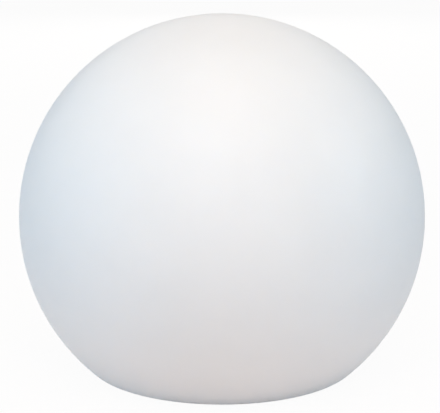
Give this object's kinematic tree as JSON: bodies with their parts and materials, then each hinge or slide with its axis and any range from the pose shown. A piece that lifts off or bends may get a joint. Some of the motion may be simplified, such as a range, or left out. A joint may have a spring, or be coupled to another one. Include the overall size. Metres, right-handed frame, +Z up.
{
  "type": "outdoor floor lamp",
  "caption": "Cordless globe floor lamp with a flattened underside, a twist-out battery and light module, a push button and a hinged charging cover.",
  "frame": {"origin": "centre of the standing plane, level with the bottom of the feet and under the globe's centre", "axes": "+Z up through the globe's centre; +Y towards the power button, -Y towards the charging port"},
  "size_m": [0.4, 0.3998, 0.3525],
  "materials": {
    "opal_globe": "satin",
    "opal_dome": "satin",
    "pale_plastic": "satin",
    "grey_white_plastic": "satin",
    "housing_plastic": "satin",
    "button_plastic": "satin",
    "cover_plastic": "satin",
    "dark_grey_plastic": "matte",
    "black_plastic": "satin",
    "ivory_plastic": "satin",
    "clear_plastic": "gloss",
    "grey_rubber": "matte",
    "black_rubber": "matte",
    "grey_foam": "matte",
    "thermal_pad": "matte",
    "stainless_steel": "satin",
    "plated_contact": "gloss",
    "brass_insert": "satin",
    "aluminium_sheet": "satin",
    "capacitor_can": "gloss",
    "ferrite_core": "matte",
    "circuit_board": "satin",
    "white_board": "satin",
    "emitter_yellow": "satin",
    "cell_wrap": "gloss",
    "red_wire": "satin",
    "black_wire": "satin"
  },
  "bodies": {
    "globe": {"globe_shell": "opal_globe", "threaded_inserts": "brass_insert", "seat_gasket": "black_rubber", "lock_ring": "pale_plastic", "lock_ring_screws": "stainless_steel", "rubber_feet": "grey_rubber"},
    "base_module": {"base_plate": "grey_white_plastic", "collar_o_ring": "black_rubber", "power_switch": "black_plastic", "charging_jack": "black_plastic", "jack_contact": "plated_contact", "jack_nut": "plated_contact", "indicator_light_pipe": "clear_plastic", "vent_plug": "dark_grey_plastic", "cover_hinge_pin": "stainless_steel", "control_board": "circuit_board", "control_chips": "black_plastic", "power_inductor": "ferrite_core", "board_capacitors": "capacitor_can", "wire_headers": "ivory_plastic", "board_screws": "stainless_steel", "inner_housing": "housing_plastic", "housing_o_ring": "black_rubber", "housing_screws": "stainless_steel", "battery_tray": "dark_grey_plastic", "tray_screws": "stainless_steel", "battery_cells": "cell_wrap", "cell_links": "plated_contact", "clamp_foam": "grey_foam", "battery_clamps": "aluminium_sheet", "clamp_screws": "stainless_steel", "protection_board": "circuit_board", "battery_lead": "red_wire", "charge_lead": "black_wire", "light_lead": "black_wire", "heat_spreader": "aluminium_sheet", "spreader_screws": "stainless_steel", "thermal_pad": "thermal_pad", "light_board": "white_board", "emitters": "emitter_yellow", "light_board_screws": "stainless_steel", "dome_o_ring": "black_rubber", "diffuser_dome": "opal_dome", "dome_screws": "stainless_steel"},
    "power_button": {"power_button": "button_plastic", "button_o_ring": "black_rubber", "switch_plunger": "black_plastic"},
    "port_cover": {"port_cover": "cover_plastic", "port_cover_seal": "black_rubber"}
  },
  "joints": [
    {"name": "module_twist", "type": "hinge", "parent": "globe", "child": "base_module", "pos_m": [0, 0, 0.018], "axis": [0, 0, -1], "range_deg": [0, 65]},
    {"name": "button_press", "type": "slide", "parent": "base_module", "child": "power_button", "axis": [0, 0, 1], "range_m": [0, 0.0015], "stiffness_N_per_m": 1000, "springref_m": -0.0005},
    {"name": "cover_swing", "type": "hinge", "parent": "base_module", "child": "port_cover", "pos_m": [0, -0.0399, 0.0158], "axis": [1, 0, 0], "range_deg": [0, 95]}
  ]
}
